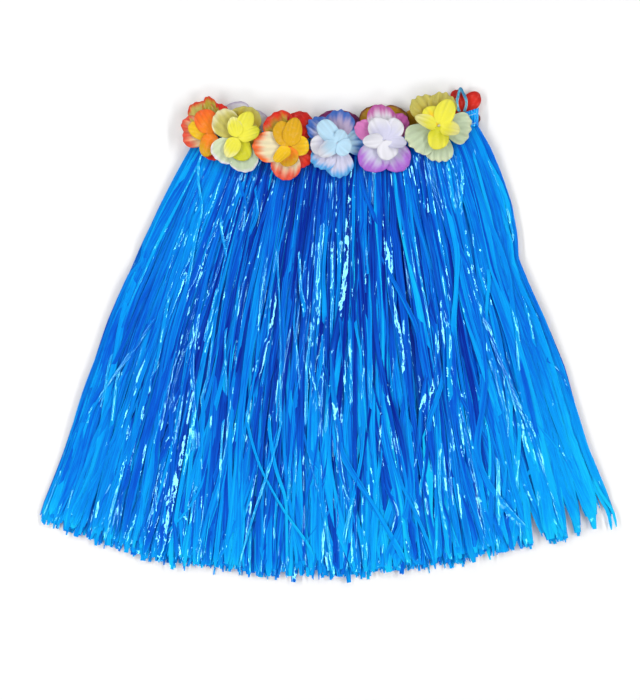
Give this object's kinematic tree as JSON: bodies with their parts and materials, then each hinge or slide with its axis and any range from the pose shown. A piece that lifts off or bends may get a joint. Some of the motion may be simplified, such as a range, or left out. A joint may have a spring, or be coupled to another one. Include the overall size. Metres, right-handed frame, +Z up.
{
  "type": "grass skirt with flower waistband, laid flat",
  "caption": "Child's blue film-strand grass skirt laid flat, with an elastic waistband, a tie loop and a row of two-layer fabric flowers.",
  "frame": {"origin": "middle of the box on the surface that the skirt lies on", "axes": "+Z up, out of the front layer; +Y from the hem towards the waistband; +X to the right as the front is seen"},
  "size_m": [0.5208, 0.4418, 0.0228],
  "materials": {
    "fringe_back": "thin glossy crinkled blue film, slightly see-through",
    "fringe_front": "thin glossy crinkled blue film, slightly see-through",
    "waistband": "gathered blue film over elastic",
    "tie_loop": "thin twisted blue film ribbon",
    "flower_back_1_outer": "thin pleated synthetic cloth, dyed towards its rim",
    "flower_back_1_inner": "thin synthetic cloth, softly ribbed",
    "flower_stud": "small milky plastic stud",
    "flower_back_2_outer": "thin pleated synthetic cloth, dyed towards its rim",
    "flower_back_2_inner": "thin synthetic cloth, softly ribbed",
    "flower_back_3_outer": "thin pleated synthetic cloth, dyed towards its rim",
    "flower_back_3_inner": "thin synthetic cloth, softly ribbed",
    "flower_back_4_outer": "thin pleated synthetic cloth, dyed towards its rim",
    "flower_back_4_inner": "thin synthetic cloth, softly ribbed",
    "flower_back_5_outer": "thin pleated synthetic cloth, dyed towards its rim",
    "flower_back_5_inner": "thin synthetic cloth, softly ribbed",
    "flower_back_6_outer": "thin pleated synthetic cloth, dyed towards its rim",
    "flower_back_6_inner": "thin synthetic cloth, softly ribbed",
    "flower_front_1_outer": "thin pleated synthetic cloth, dyed towards its rim",
    "flower_front_1_inner": "thin synthetic cloth, softly ribbed",
    "flower_front_2_outer": "thin pleated synthetic cloth, dyed towards its rim",
    "flower_front_2_inner": "thin synthetic cloth, softly ribbed",
    "flower_front_3_outer": "thin pleated synthetic cloth, dyed towards its rim",
    "flower_front_3_inner": "thin synthetic cloth, softly ribbed",
    "flower_front_4_outer": "thin pleated synthetic cloth, dyed towards its rim",
    "flower_front_4_inner": "thin synthetic cloth, softly ribbed",
    "flower_front_5_outer": "thin pleated synthetic cloth, dyed towards its rim",
    "flower_front_5_inner": "thin synthetic cloth, softly ribbed",
    "flower_front_6_outer": "thin pleated synthetic cloth, dyed towards its rim",
    "flower_front_6_inner": "thin synthetic cloth, softly ribbed"
  },
  "bodies": {
    "root": {"fringe_back": "fringe_back", "fringe_front": "fringe_front", "waistband": "waistband", "tie_loop": "tie_loop", "flower_back_1_outer": "flower_back_1_outer", "flower_back_1_inner": "flower_back_1_inner", "flower_back_1_stud": "flower_stud", "flower_back_2_outer": "flower_back_2_outer", "flower_back_2_inner": "flower_back_2_inner", "flower_back_2_stud": "flower_stud", "flower_back_3_outer": "flower_back_3_outer", "flower_back_3_inner": "flower_back_3_inner", "flower_back_3_stud": "flower_stud", "flower_back_4_outer": "flower_back_4_outer", "flower_back_4_inner": "flower_back_4_inner", "flower_back_4_stud": "flower_stud", "flower_back_5_outer": "flower_back_5_outer", "flower_back_5_inner": "flower_back_5_inner", "flower_back_5_stud": "flower_stud", "flower_back_6_outer": "flower_back_6_outer", "flower_back_6_inner": "flower_back_6_inner", "flower_back_6_stud": "flower_stud", "flower_front_1_outer": "flower_front_1_outer", "flower_front_1_inner": "flower_front_1_inner", "flower_front_1_stud": "flower_stud", "flower_front_2_outer": "flower_front_2_outer", "flower_front_2_inner": "flower_front_2_inner", "flower_front_2_stud": "flower_stud", "flower_front_3_outer": "flower_front_3_outer", "flower_front_3_inner": "flower_front_3_inner", "flower_front_3_stud": "flower_stud", "flower_front_4_outer": "flower_front_4_outer", "flower_front_4_inner": "flower_front_4_inner", "flower_front_4_stud": "flower_stud", "flower_front_5_outer": "flower_front_5_outer", "flower_front_5_inner": "flower_front_5_inner", "flower_front_5_stud": "flower_stud", "flower_front_6_outer": "flower_front_6_outer", "flower_front_6_inner": "flower_front_6_inner", "flower_front_6_stud": "flower_stud"}
  },
  "joints": []
}
